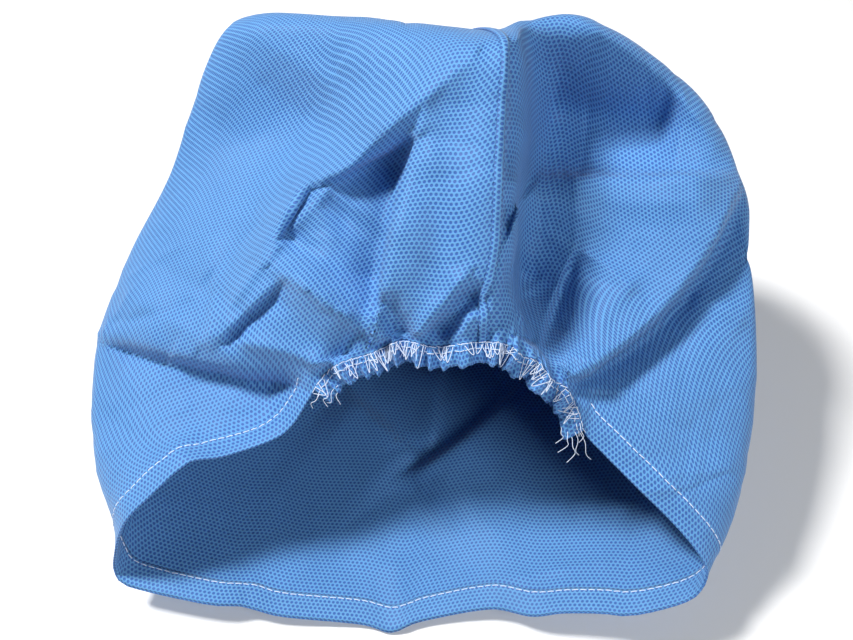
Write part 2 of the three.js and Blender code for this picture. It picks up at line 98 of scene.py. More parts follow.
# The wavy edge of the mouth: how far round it is, in rails, and its place. Along the nape it is the line
# where the elastic channel begins.
RIM = (
    (0.00, (-13.5, -84.0, 0.5)), (0.25, (-25.5, -81.4, 2.0)), (0.65, (-55.6, -79.7, 6.0)),
    (0.90, (-69.7, -76.9, 9.0)), (1.15, (-83.3, -77.2, 12.0)), (1.75, (-113.0, -71.5, 15.0)),
    (1.93, (-118.2, -68.3, 17.5)), (2.05, (-119.0, -66.6, 22.0)), (2.30, (-116.3, -64.8, 31.0)),
    (2.55, (-112.8, -62.3, 40.5)), (2.80, (-109.0, -59.6, 47.5)), (3.00, (-104.6, -56.3, 51.5)),
    (3.15, (-97.0, -50.8, 55.5)), (3.33, (-88.7, -44.3, 59.0)), (3.42, (-84.3, -41.5, 60.0)),
    (3.60, (-72.8, -39.0, 59.5)), (3.80, (-56.2, -34.0, 62.0)), (3.90, (-49.0, -29.6, 65.0)),
    (4.00, (-43.0, -24.2, 73.0)), (4.10, (-37.2, -19.8, 81.5)), (4.22, (-30.2, -17.5, 87.5)),
    (4.42, (-19.3, -16.6, 92.0)), (4.62, (-8.5, -14.5, 96.5)), (4.81, (3.1, -18.4, 98.5)),
    (5.00, (17.5, -19.0, 102.2)), (5.40, (27.6, -19.0, 100.7)), (5.70, (32.8, -20.9, 96.8)),
    (5.95, (38.7, -21.5, 93.5)), (6.20, (43.7, -23.9, 87.0)), (6.45, (49.1, -24.8, 82.5)),
    (6.75, (54.0, -28.9, 74.5)), (7.00, (57.5, -34.4, 66.6)), (7.25, (64.2, -40.3, 62.0)),
    (7.60, (76.1, -50.8, 56.0)), (8.00, (87.7, -60.7, 50.0)), (8.40, (96.3, -68.7, 44.0)),
    (8.75, (101.0, -74.1, 38.0)), (9.00, (100.0, -78.5, 33.0)), (9.25, (94.0, -82.2, 28.0)),
    (9.65, (76.3, -84.2, 20.0)), (9.85, (64.8, -82.4, 17.0)), (10.10, (51.1, -81.3, 14.0)),
    (10.30, (39.8, -81.1, 10.0)), (10.55, (24.2, -77.4, 7.0)), (10.85, (-2.3, -80.5, 2.5)),
)
RIM_AROUND = np.array([around for around, _ in RIM])
RIM_PLACES = np.array([place for _, place in RIM])
RIM_REACH = 0.55

# Folds of the back and sides, as the viewer sees them. Each runs from start to end, bowed sideways in its
# middle. The cloth rises by rise, or sinks where it is less than 0, and falls away over left and right. A
# step rises on its left side alone, over the width of its step. A crisp fold comes to a sharp edge.
FOLD_COLUMNS = ("name", "start", "end", "bow", "rise", "left", "right", "step", "crisp")
BACK_FOLDS = (
    ("crest of the back", (-76, 108.5), (15, 108.8), 2.6, 3, 3, 9, 0, True),
    ("puff brow left", (16.5, 97.5), (-82.1, -7.5), -6, 11, 8, 14, 0, True),
    ("left panel hollow", (-36, 90), (-90.4, -3.8), -3, -17, 14, 30, 0, False),
    ("facet below the brow", (-45, 34), (-76, 0), 0, -8, 9, 10, 0, False),
    ("left panel crease", (-63, 36.8), (-85.9, 10.1), 0, -2.5, 2.5, 3, 0, True),
    ("left panel ridge", (-78.4, 33), (-88.5, 7.5), 2, 1.6, 3, 4, 0, True),
    ("side crease", (-88.5, 6.4), (-121, -1), 1.5, -3, 3, 5, 0, True),
    ("pocket below the brow", (-2, 70), (-45, 49), 1, -11, 24, 2, 1.0, True),
    ("edge below the brow", (-43.1, 51.4), (-57, 28.1), 0, -10, 24, 2, 1.0, True),
    ("pocket beside the lobe", (-19.5, 0.8), (-4, 70), 1.5, -19, 30, 2, 0.9, True),
    ("lobe edge", (-19.5, 0.8), (-4, 70), 1.5, 7, 1.0, 24, 0, True),
    ("lobe hollow", (10.9, 78.8), (2.2, 0), 0, -4, 10, 8, 0, False),
    ("flap edge", (-58.1, 19.5), (-26.3, -3.4), 1.5, 8, 8, 2, 0, True),
    ("hollow under the flap", (-54, 15), (-78, -9), 0, -11, 16, 3, 0.9, True),
    ("left puff", (-74, -8), (-36, -19.5), 2, 8, 10, 5, 0, True),
    ("hem hollow left", (-122.2, -8), (-47.2, -25), -3, -15, 4, 20, 0, True),
    ("hem ridge left", (-118, -6), (-56, -20), -2, 3, 5, 3, 0, True),
    ("nape pleat 1", (15.4, 17.2), (-5.2, -8.2), 0, 6, 2, 7, 0, True),
    ("nape valley 1", (19.5, 12), (2.3, -8.3), 0, -7, 5, 4, 0, False),
    ("nape pleat 2", (18, 3), (8, -12.8), 0, 4.5, 2.5, 4, 0, True),
    ("nape pleat 3", (-20.6, 3), (-15, -12), 0, 3, 2, 3, 0, True),
    ("nape valley 3", (-18, 8), (-9, -8), 1, -6, 5, 3, 0, False),
    ("nape valley 4", (-26.6, -3.4), (-32, -16.9), 0, -4, 2.5, 2.5, 0, True),
    ("seam foot low", (29.6, 51.8), (24.6, -9.4), 1.5, -6, 6, 1.5, 0.9, False),
    ("seam foot high", (30.8, 106), (29.6, 52), 0, -14, 34, 1.5, 0.9, False),
    ("right puff brow", (116, 56), (40, 55), 1, 12, 34, 2, 1.1, True),
    ("right strip edge", (42, 54), (27.5, 22), -2, 8, 20, 1.5, 1.1, True),
    ("right puff crest", (54, 49), (112, 47), -4, 2, 9, 12, 0, True),
    ("right valley", (40, 82), (96, 74), -3, -17, 14, 18, 0, False),
    ("right strip fold", (56.1, 26), (43, -9.7), -1, -9, 18, 1.5, 1.0, True),
    ("right strip ridge", (57.8, 26), (79, 10), 1, 4, 3, 10, 0, True),
    ("right nape tuck", (30.4, -5.3), (41, -8.6), 0, -4, 2, 3, 0, True),
    ("right overhang", (118.1, 50.2), (47.2, -26.2), 11, -14, 16, 1.5, 0.9, True),
    ("right puff rim", (118.1, 50.2), (47.2, -26.2), 11, 8, 1, 24, 0, True),
    ("right panel ridge", (99.8, 10.5), (121, -1), 0, 3, 4, 7, 0, True),
    ("right shoulder", (55.5, 113.2), (107.2, 67.5), 5, 6, 7, 10, 0, True),
)
# Creases of the front panel, inside, where the crown has slipped forward over itself
FRONT_FOLDS = (
    ("slip of the front panel", (37, -22), (-9, -58.5), 2, 13, 40, 1.5, 1.2, True),
    ("crease at the left", (-1, -53), (-31, -25), 0, 8, 24, 1.5, 1.2, True),
    ("inner end of the seam", (3.4, -50), (6.6, -16), 0, 6, 18, 1.5, 0.9, True),
    ("dip of the rim", (-12, -88), (-8, -118), 0, 2.5, 8, 8, 0, True),
)
# Where the folds fade in and out: two spans round the cap, and one towards the closed end. The hem and the
# elastic hold the edge of the mouth, so that the folds of the back and sides open over a span behind it.
BACK_FADE = ((2.6, 3.2), (7.9, 8.5), (5.6, 6.3))
FRONT_FADE = ((1.6, 2.3), (8.7, 9.4), (5.2, 6.2))
FOLDS_OPEN_ALONG = (0.0, 0.45)
FOLD_SWELL = 1.3
FOLD_END_RISE = 0.35
FOLD_END_REACH = 0.5
STEP_END_RISE = 0.15
STEP_END_REACH = 4.0

# The elastic gathers the nape between two places into pleats, deep ones and fine ones between them
NAPE_FROM = 4.05
NAPE_TO = 6.95
SEAM_AT_NAPE = 0.55
GATHER_FADE = (-0.02, 0.06)
# A pleat is sharper on its crest than in its valley
PLEAT_CREST = 1.3
PLEAT_SHARPNESS = 0.9
# The pleats are wider and narrower by turns, once over this many of them
PLEATS_PER_DRIFT = 3
GATHERS = (
    # count, depth, reach along in sections, unevenness
    (10, 2.2, 0.45, 0.015),
    (23, 1.1, 0.2, 0.006),
)


def smooth_span(before, start, end, after, t):
    """One span of a smooth curve through four values, at t from the second to the third."""
    bend = 2 * before - 5 * start + 4 * end - after
    twist = 3 * (start - end) + after - before
    return start + 0.5 * t * (end - before + t * (bend + t * twist))


def smoothstep(value, low, high):
    share = np.clip((value - low) / (high - low), 0, 1)
    return share * share * (3 - 2 * share)


def smooth_points(around, along):
    """The smooth bag, with around from 0 to 11 in rails and along from 0 to 7 in sections."""
    rail = np.floor(around).astype(int)
    at_rails = [SECTION_POINTS[:, (rail + offset) % len(RAILS)] for offset in (-1, 0, 1, 2)]
    loops = smooth_span(*at_rails, (around - rail)[..., None])
    loops = np.concatenate([2 * loops[:1] - loops[1:2], loops, 2 * loops[-1:] - loops[-2:-1]])
    start = np.minimum(np.floor(along).astype(int), LAST_ALONG - 1)
    rows, columns = np.indices(start.shape)
    at_sections = [loops[start + offset, rows, columns] for offset in range(4)]
    return smooth_span(*at_sections, (along - start)[..., None])


def rim_points(around):
    place = around % len(RAILS)
    index = np.searchsorted(RIM_AROUND, place, side="right") - 1
    following = (index + 1) % len(RIM)
    start = RIM_AROUND[index]
    end = RIM_AROUND[following] + np.where(following == 0, len(RAILS), 0)
    at_knots = [RIM_PLACES[(index + offset) % len(RIM)] for offset in (-1, 0, 1, 2)]
    return smooth_span(*at_knots, ((place - start) / (end - start))[..., None])


def seen_at(points):
    """Where the viewer sees the points: across and up, in millimetres in the facing plane."""
    ray = points - EYE
    scale = FACING_DISTANCE / (ray @ LOOKING)
    return ray[..., 0] * scale, (ray @ UPWARD) * scale


def fold_rise(fold, across, up):
    run = np.subtract(fold["end"], fold["start"])
    length = np.hypot(*run)
    way = run / length
    off_across, off_up = across - fold["start"][0], up - fold["start"][1]
    t = (off_across * way[0] + off_up * way[1]) / length
    middle = np.clip(t, 0, 1)
    arch = 4 * middle * (1 - middle)
    aside = off_up * way[0] - off_across * way[1] - fold["bow"] * arch
    width = np.where(aside > 0, fold["left"], fold["right"])
    beyond = np.maximum(np.maximum(-t, t - 1), 0) * length
    reach_beyond = STEP_END_REACH if fold["step"] else FOLD_END_REACH * width
    end_rise = STEP_END_RISE if fold["step"] else FOLD_END_RISE
    ends = np.exp(-((beyond / reach_beyond) ** 2)) * np.minimum(1, end_rise + FOLD_SWELL * arch)
    reach = np.abs(aside) / width
    fall = np.exp(-reach) if fold["crisp"] else np.exp(-(reach**2))
    side = 0.5 * (1 + np.tanh(aside / fold["step"])) if fold["step"] else 1.0
    return fold["rise"] * ends * fall * side


def all_rises(folds, across, up):
    return sum(fold_rise(dict(zip(FOLD_COLUMNS, row)), across, up) for row in folds)


def nape_share(around):
    """How far along the elastic a place is, from 0 at its left end to 1 at its right."""
    left = SEAM_AT_NAPE * (around - NAPE_FROM) / (SEAM_RAIL - NAPE_FROM)
    right = SEAM_AT_NAPE + (1 - SEAM_AT_NAPE) * (around - SEAM_RAIL) / (NAPE_TO - SEAM_RAIL)
    return np.where(around < SEAM_RAIL, left, right)


def gather_rise(around, along):
    share = nape_share(around)
    ends = smoothstep(np.minimum(share, 1 - share), *GATHER_FADE)
    total = 0.0
    for count, depth, reach, unevenness in GATHERS:
        drift = unevenness * np.sin(2 * math.pi * (count / PLEATS_PER_DRIFT) * share)
        turn = 2 * math.pi * count * (share + drift)
        wave = PLEAT_CREST - 2 * np.abs(np.sin(0.5 * turn)) ** PLEAT_SHARPNESS
        total = total + depth * ends * wave * np.exp(-along / reach)
    return total


def bag_points(around, along):
    """The bag with its wavy edge, without folds."""
    rim_share = np.exp(-((along / RIM_REACH) ** 2))[..., None]
    to_rim = rim_points(around) - smooth_points(around, np.zeros_like(along))
    return smooth_points(around, along) + to_rim * rim_share


def unit(vectors):
    return vectors / np.linalg.norm(vectors, axis=-1, keepdims=True)


def cloth_points(around, along):
    """The outer face of the cloth, with the wavy edge, the folds and the gathers."""
    points = bag_points(around, along)
    back = smoothstep(around, *BACK_FADE[0]) * (1 - smoothstep(around, *BACK_FADE[1]))
    back = back * (1 - smoothstep(along, *BACK_FADE[2]))
    front = 1 - smoothstep(around, *FRONT_FADE[0]) * (1 - smoothstep(around, *FRONT_FADE[1]))
    front = front * (1 - smoothstep(along, *FRONT_FADE[2]))
    opened = smoothstep(along, *FOLDS_OPEN_ALONG)
    seen = seen_at(points)
    rise = (all_rises(BACK_FOLDS, *seen) * opened + gather_rise(around, along)) * back
    rise = rise + all_rises(FRONT_FOLDS, *seen) * front
    points = points + unit(EYE - points) * rise[..., None]
    points[..., 2] = np.maximum(points[..., 2], CLOTH_THICKNESS)
    return points


SHORTEST_NORMAL = 1e-9


def face_normals(points):
    """Outward normals of a drawn face whose rows are closed loops."""
    roundwards = np.roll(points, -1, axis=1) - np.roll(points, 1, axis=1)
    lengthwise = np.gradient(points, axis=0)
    normals = np.cross(roundwards, lengthwise)
    return normals / np.maximum(np.linalg.norm(normals, axis=-1, keepdims=True), SHORTEST_NORMAL)


# The small sharp wrinkles that a papery cloth keeps: straight creases at random places on the bag
WRINKLE_COUNT = 300
WRINKLE_SEED = 17
WRINKLE_DEPTH = (0.25, 0.9)
WRINKLE_WIDTH = (1.5, 6.0)
WRINKLE_LENGTH = (9.0, 32.0)
WRINKLE_REACH = 9.0
# Heights over the floor between which the wrinkles set in: the cloth lies flat on the floor
WRINKLES_ABOVE = (1.0, 9.0)


def wrinkle_rise(points, normals):
    chance = np.random.default_rng(WRINKLE_SEED)
    total = np.zeros(points.shape[:2])
    for _ in range(WRINKLE_COUNT):
        row, column = chance.integers(points.shape[0]), chance.integers(points.shape[1])
        middle, outward = points[row, column], normals[row, column]
        along = np.cross(outward, chance.normal(size=3))
        along /= np.linalg.norm(along)
        aside = np.cross(outward, along)
        depth = chance.uniform(*WRINKLE_DEPTH) * chance.choice((-1, 1))
        width, length = chance.uniform(*WRINKLE_WIDTH), chance.uniform(*WRINKLE_LENGTH)
        off = points - middle
        fall = np.abs(off @ aside) / width + ((off @ along) / length) ** 2
        total += depth * np.exp(-fall - ((off @ outward) / WRINKLE_REACH) ** 2)
    return total


# The grid of the drawn cloth: closest at the back and sides, where the folds and the gathers are. Its two
# halves match, because at the closed end each column on the left meets one on the right.
COLUMN_SPANS = ((0, 1, 25), (1, 3, 21), (3, NAPE_FROM, 58), (NAPE_FROM, 5, 45), (5, 6, 44),
                (6, NAPE_TO, 45), (NAPE_TO, 8, 58), (8, 10, 21), (10, 11, 25))
ROW_SPANS = ((0, 1, 46), (1, 3, 46), (3, 5, 34), (5, 7, 18))


def spaced(spans, closing):
    places = [np.linspace(start, end, steps, endpoint=False) for start, end, steps in spans]
    return np.concatenate(places + ([[spans[-1][1]]] if closing else []))


column_places = spaced(COLUMN_SPANS, closing=False)
row_places = spaced(ROW_SPANS, closing=True)
column_count, row_count = len(column_places), len(row_places)
seam_column = int(np.argmin(np.abs(column_places - SEAM_RAIL)))


def zip_closed_end(face):
    """The left and right halves meet at the last row: each pair of points becomes one."""
    last = face[-1]
    last[1:] = (last[1:] + last[:0:-1]) / 2


around_grid, along_grid = np.meshgrid(column_places, row_places)
outer = cloth_points(around_grid, along_grid)
normals = face_normals(outer)
wrinkles = wrinkle_rise(outer, normals)
wrinkles *= smoothstep(outer[..., 2], *WRINKLES_ABOVE)
outer = outer + normals * wrinkles[..., None]
zip_closed_end(outer)
normals = face_normals(outer)
inner = outer - normals * CLOTH_THICKNESS
zip_closed_end(inner)


def cloth_lengths(face):
    """Lengths on a closed face: round it from its first column, and along it from the mouth."""
    wrapped = np.concatenate([face, face[:, :1]], axis=1)
    steps_round = np.linalg.norm(np.diff(wrapped, axis=1), axis=-1)
    steps_along = np.linalg.norm(np.diff(wrapped, axis=0), axis=-1)
    first_column, first_row = np.zeros((len(face), 1)), np.zeros((1, wrapped.shape[1]))
    return (np.concatenate([first_column, np.cumsum(steps_round, axis=1)], axis=1),
            np.concatenate([first_row, np.cumsum(steps_along, axis=0)]), wrapped)


# The strips and stitches follow lengths on the folded cloth. The pattern of dots was pressed into the flat
# cloth, so it follows the bag without its folds.
length_round, length_along, wrapped = cloth_lengths(outer)
from_seam = length_round - length_round[:, seam_column:seam_column + 1]
pattern_round, pattern_along, _ = cloth_lengths(bag_points(around_grid, along_grid))
pattern_from_seam = pattern_round - pattern_round[:, seam_column:seam_column + 1]
# Between these two rails the pattern is laid out from the seam, and on the front panel from its middle
PATTERN_CUT_LEFT, PATTERN_CUT_RIGHT = 2.0, 9.0


def in_scene(name, data):
    """A new object in the scene, made of a mesh, a lamp or a camera."""
    thing = bpy.data.objects.new(name, data)
    bpy.context.scene.collection.objects.link(thing)
    return thing


def mesh_object(name, points, faces, uvs, material):
    """A piece from points in the tables' millimetres, with one cloth coordinate for each face corner."""
    mesh = bpy.data.meshes.new(name)
    mesh.from_pydata(((points - CENTRE) * MM).tolist(), [], faces.tolist())
    mesh.uv_layers.new(name="cloth").data.foreach_set("uv", (uvs * MM).astype(np.float32).ravel())
    mesh.polygons.foreach_set("use_smooth", [True] * len(mesh.polygons))
    mesh.materials.append(material)
    mesh.update()
    return in_scene(name, mesh)


SAME_PLACE = 2e-6


def merge_doubles(piece):
    shape = bmesh.new()
    shape.from_mesh(piece.data)
    bmesh.ops.remove_doubles(shape, verts=shape.verts, dist=SAME_PLACE)
    shape.to_mesh(piece.data)
    shape.free()


def grid_corners(rows, columns, closed):
    """Corner indices of the quads of a grid, as rows and columns, turned as the outer face is."""
    last = columns if closed else columns - 1
    row, column = np.meshgrid(np.arange(rows - 1), np.arange(last), indexing="ij")
    row, column = row.ravel()[:, None], column.ravel()[:, None]
    return row + np.array([[0, 0, 1, 1]]), column + np.array([[0, 1, 1, 0]])


def linear(hexadecimal):
    """A colour given as six hexadecimal digits, in the linear values that a shader takes."""
    values = [int(hexadecimal[place:place + 2], 16) / 255 for place in (1, 3, 5)]
    red, green, blue = [
        value / 12.92 if value < 0.04045 else ((value + 0.055) / 1.055) ** 2.4 for value in values]
    return red, green, blue, 1.0


def node_tools(tree):
    """Two short helpers for a node tree: add a node with what its inputs take, and join a socket to a value
    or to another socket."""

    def feed(socket, source):
        if isinstance(source, bpy.types.NodeSocket):
            tree.links.new(source, socket)
        else:
            socket.default_value = source

    def add(kind, inputs=None, **settings):
        node = tree.nodes.new(kind)
        for name, value in settings.items():
            setattr(node, name, value)
        for name, source in (inputs or {}).items():
            feed(node.inputs[name], source)
        return node

    return add, feed


def new_group(name, kind, inputs, outputs):
    """A node group, with the helpers for its tree, the sockets that it is given and those that it makes."""
    tree = bpy.data.node_groups.new(name, kind)
    for direction, sockets in (("INPUT", inputs), ("OUTPUT", outputs)):
        for label, socket_type, value in sockets:
            socket = tree.interface.new_socket(
                label, in_out=direction, socket_type=f"NodeSocket{socket_type}")
            if value is not None:
                socket.default_value = value
    add, feed = node_tools(tree)
    return tree, add, feed, add("NodeGroupInput").outputs, add("NodeGroupOutput").inputs


def math_node(add, operation, *sources):
    return add("ShaderNodeMath", dict(enumerate(sources)), operation=operation).outputs[0]


def vector_node(add, operation, *sources, output=0):
    return add("ShaderNodeVectorMath", dict(enumerate(sources)), operation=operation).outputs[output]


# Bonding dots: rollers weld the fibres at a staggered grid of small pressed dots. A cell of the grid is two
# rows high, with one dot at its corners and one in its middle.
DOT_STAGGERS = ((0.0, 0.0, 0.5), (0.5, 0.5, 0.5))
ROWS_IN_CELL = 2.0


def bonding_dots():
    tree, add, feed, given, made = new_group(
        "Bonding dots", "ShaderNodeTree",
        (("Cloth Coordinates", "Vector", None), ("Dot Pitch", "Float", 0.00173),
         ("Row Spacing", "Float", 0.0015), ("Dot Radius", "Float", 0.00045),
         ("Soft Edge", "Float", 0.00022)),
        (("Dots", "Float", None),))
    cell = add("ShaderNodeCombineXYZ", {
        "X": given["Dot Pitch"], "Y": math_node(add, "MULTIPLY", given["Row Spacing"], ROWS_IN_CELL),
        "Z": 1.0}).outputs[0]
    in_cells = vector_node(add, "DIVIDE", given["Cloth Coordinates"], cell)
    lengths = []
    for stagger in DOT_STAGGERS:
        part = vector_node(add, "FRACTION", vector_node(add, "ADD", in_cells, stagger))
        centred = vector_node(add, "SUBTRACT", part, (0.5, 0.5, 0.5))
        sized = vector_node(add, "MULTIPLY", centred, cell)
        flat = vector_node(add, "MULTIPLY", sized, (1.0, 1.0, 0.0))
        lengths.append(vector_node(add, "LENGTH", flat, output=1))
    edge = add("ShaderNodeMapRange", {
        "Value": math_node(add, "MINIMUM", *lengths), "From Min": given["Dot Radius"],
        "From Max": math_node(add, "ADD", given["Dot Radius"], given["Soft Edge"]),
        "To Min": 1.0, "To Max": 0.0}, interpolation_type="SMOOTHSTEP")
    feed(made["Dots"], edge.outputs["Result"])
    return tree


# Fibre mat: the cloth is thicker in some places than in others, and its fibres show as fine flecks
def fibre_mat():
    tree, add, feed, given, made = new_group(
        "Fibre mat", "ShaderNodeTree",
        (("Fleck Scale", "Float", 2600.0), ("Cloud Scale", "Float", 55.0)),
        (("Flecks", "Float", None), ("Clouds", "Float", None)))
    place = add("ShaderNodeTexCoord").outputs["Object"]
    for label, detail in (("Fleck", 3.0), ("Cloud", 4.0)):
        noise = add("ShaderNodeTexNoise", {
            "Vector": place, "Scale": given[f"{label} Scale"], "Detail": detail, "Roughness": 0.6})
        feed(made[f"{label}s"], noise.outputs["Fac"])
    return tree


# Crinkle: faint ridges between flat facets, as in crumpled paper
def crinkle():
    tree, add, feed, given, made = new_group(
        "Crinkle", "ShaderNodeTree",
        (("Facet Scale", "Float", 70.0), ("Bend Scale", "Float", 30.0), ("Bend", "Float", 0.02)),
        (("Ridges", "Float", None),))
    place = add("ShaderNodeTexCoord").outputs["Object"]
    bent = add("ShaderNodeTexNoise", {"Vector": place, "Scale": given["Bend Scale"]})
    moved = vector_node(add, "MULTIPLY", bent.outputs["Color"], given["Bend"])
    cells = add("ShaderNodeTexVoronoi", {
        "Vector": vector_node(add, "ADD", place, moved), "Scale": given["Facet Scale"]}, feature="F2")
    feed(made["Ridges"], cells.outputs["Distance"])
    return tree


DOTS, FIBRES, CRINKLE = bonding_dots(), fibre_mat(), crinkle()
CLOUD_TONE = 0.82
DOT_SHARE = 0.8
FIBRE_ROUGHNESS, DOT_ROUGHNESS = 0.72, 0.48
CRINKLE_DEPTH = 0.0009
DOT_DEPTH = 0.00030
FLECK_HEIGHT = 0.45


def nonwoven(name, fibre_colour, dot_colour):
    """Bonded cloth: fibres with pressed dots, which are darker, smoother and lower than the rest."""
    material = bpy.data.materials.new(name)
    material.use_nodes = True
    material.node_tree.nodes.clear()
    add, feed = node_tools(material.node_tree)
    coordinates = add("ShaderNodeUVMap", uv_map="cloth").outputs["UV"]
    dots = add("ShaderNodeGroup", {"Cloth Coordinates": coordinates}, node_tree=DOTS).outputs["Dots"]
    mat = add("ShaderNodeGroup", node_tree=FIBRES).outputs
    ridges = add("ShaderNodeGroup", node_tree=CRINKLE).outputs["Ridges"]

    fibre = linear(fibre_colour)
    clouded = add("ShaderNodeMix", {
        "Factor": mat["Clouds"], "A": fibre,
        "B": tuple(CLOUD_TONE * value for value in fibre[:3]) + (1.0,)}, data_type="RGBA")
    dotted = add("ShaderNodeMix", {
        "Factor": math_node(add, "MULTIPLY", dots, DOT_SHARE), "A": clouded.outputs["Result"],
        "B": linear(dot_colour)}, data_type="RGBA")
    rough = add("ShaderNodeMapRange", {
        "Value": dots, "To Min": FIBRE_ROUGHNESS, "To Max": DOT_ROUGHNESS})

    folds = add("ShaderNodeBump", {"Strength": 0.6, "Distance": CRINKLE_DEPTH, "Height": ridges})
    height = math_node(add, "SUBTRACT", math_node(add, "MULTIPLY", mat["Flecks"], FLECK_HEIGHT), dots)
    weld = add("ShaderNodeBump", {
        "Strength": 0.9, "Distance": DOT_DEPTH, "Height": height, "Normal": folds.outputs["Normal"]})
    surface = add("ShaderNodeBsdfPrincipled", {
        "Base Color": dotted.outputs["Result"], "Roughness": rough.outputs["Result"],
        "Specular IOR Level": 0.35, "Sheen Weight": 0.15, "Sheen Roughness": 0.5,
        "Normal": weld.outputs["Normal"]})
    feed(add("ShaderNodeOutputMaterial").inputs["Surface"], surface.outputs["BSDF"])
    return material


CLOTH_BLUE = nonwoven("cap cloth", "#609fda", "#1c489e")

rows, columns = grid_corners(row_count, column_count, closed=True)
outer_faces = rows * column_count + columns % column_count
quad_around = (column_places[columns[:, 0]])[:, None]
by_seam = (quad_around >= PATTERN_CUT_LEFT) & (quad_around < PATTERN_CUT_RIGHT)
front_right = quad_around >= PATTERN_CUT_RIGHT
front_lengths = np.where(front_right, pattern_round[rows, columns] - pattern_round[rows, -1],
                         pattern_round[rows, columns])
across_cloth = np.where(by_seam, pattern_from_seam[rows, columns], front_lengths)
outer_uvs = np.stack([across_cloth, pattern_along[rows, columns]], axis=-1)
inner_start = row_count * column_count
inner_faces = outer_faces[:, ::-1] + inner_start
rim = np.arange(column_count)
rim_next = (rim + 1) % column_count
rim_faces = np.stack([rim + inner_start, rim_next + inner_start, rim_next, rim], axis=-1)
rim_uvs = np.stack([from_seam[0, :-1], np.zeros(column_count)], axis=-1)
rim_next_uvs = np.stack([from_seam[0, 1:], np.zeros(column_count)], axis=-1)
body_uvs = np.concatenate([
    outer_uvs, outer_uvs[:, ::-1], np.stack([rim_uvs, rim_next_uvs, rim_next_uvs, rim_uvs], axis=1)])
body = mesh_object(
    "cap_cloth", np.concatenate([outer.reshape(-1, 3), inner.reshape(-1, 3)]),
    np.concatenate([outer_faces, inner_faces, rim_faces]), body_uvs, CLOTH_BLUE)
merge_doubles(body)
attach(body, "root")
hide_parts("cap_body")

# Front hem: the edge of the mouth, turned in once and stitched down, from one end of the elastic round the
# front to the other. What shows is the turned strip, on the inner face.
HEM_WIDTH = 10.5
HEM_FROM_EDGE = 0.4
HEM_ROWS = 8
HEM_GAP = 0.12
HEM_THICKNESS = 0.4


def at_length(grid, lengths, wanted):
    """The points of a grid at given lengths along its columns: one row for each wanted length."""
    result = np.empty((len(wanted), grid.shape[1], 3))
    for column in range(grid.shape[1]):
        for axis in range(3):
            result[:, column, axis] = np.interp(wanted, lengths[:, column], grid[:, column, axis])
    return result


def lengths_to(path):
    """The length along a path from its first point to each of its points."""
    return np.concatenate([[0.0], np.cumsum(np.linalg.norm(np.diff(path, axis=0), axis=-1))])


def turn_outwards(piece, fill_ends=False):
    """Turns the faces of a closed piece outwards, once its open ends are filled."""
    shape = bmesh.new()
    shape.from_mesh(piece.data)
    if fill_ends:
        bmesh.ops.holes_fill(shape, edges=[edge for edge in shape.edges if edge.is_boundary], sides=0)
    bmesh.ops.recalc_face_normals(shape, faces=shape.faces)
    shape.to_mesh(piece.data)
    shape.free()


def ribbon(name, top, bottom, along, across, material):
    """A strip of cloth between two grids that lie one on the other, closed along its edges. The grids' rows
    run across the strip, and along and across are its flat lengths."""
    count, length = top.shape[:2]
    loop = np.concatenate([top, bottom[::-1]])
    lengths = np.concatenate([across, across[::-1]])
    points = np.concatenate([loop, loop[:1]])
    uv_across = np.concatenate([lengths, lengths[:1]])
    row, column = grid_corners(2 * count + 1, length, closed=False)
    faces = (row % (2 * count)) * length + column
    uvs = np.stack([along[column], uv_across[row]], axis=-1)
    for end, turn in ((0, 1), (length - 1, -1)):
        row = np.arange(count - 1)[:, None]
        cap = np.concatenate([row, row + 1, 2 * count - 2 - row, 2 * count - 1 - row], axis=1)[:, ::turn]
        faces = np.concatenate([faces, cap * length + end])
        uvs = np.concatenate([uvs, np.stack([np.full(cap.shape, along[end]), uv_across[cap]], axis=-1)])
    piece = mesh_object(name, points[:-1].reshape(-1, 3), faces, uvs, material)
    turn_outwards(piece)
    return piece


hem_start = int(np.argmin(np.abs(column_places - NAPE_TO)))
hem_end = int(np.argmin(np.abs(column_places - NAPE_FROM)))
hem_columns = np.concatenate([np.arange(hem_start, column_count), np.arange(0, hem_end + 1)])
hem_across = np.linspace(HEM_FROM_EDGE, HEM_WIDTH, HEM_ROWS)
hem_line = at_length(inner[:, hem_columns], length_along[:, hem_columns], hem_across)
hem_out = unit(at_length(normals[:, hem_columns], length_along[:, hem_columns], hem_across))
hem_along = lengths_to(hem_line[0])
HEM_BLUE = nonwoven("hem cloth", "#66a3dc", "#204ea2")
hem = ribbon("hem_strip", hem_line - HEM_GAP * hem_out, hem_line - (HEM_GAP + HEM_THICKNESS) * hem_out,
             hem_along, hem_across, HEM_BLUE)
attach(hem, "root")
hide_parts("front_hem")

# Crown seam: the two panels are sewn together and their edges folded to the right, so that a narrow double
# strip lies beside the seam, from the elastic over the ridge.
SEAM_STRIP = (0.0, 3.1)
SEAM_STRIP_ROWS = 6
SEAM_STRIP_BASE = 0.35
SEAM_STRIP_HEIGHT = 0.55
SEAM_STRIP_ARCH = (0.5, 2.4)
SEAM_STRIP_LIFT = 0.1
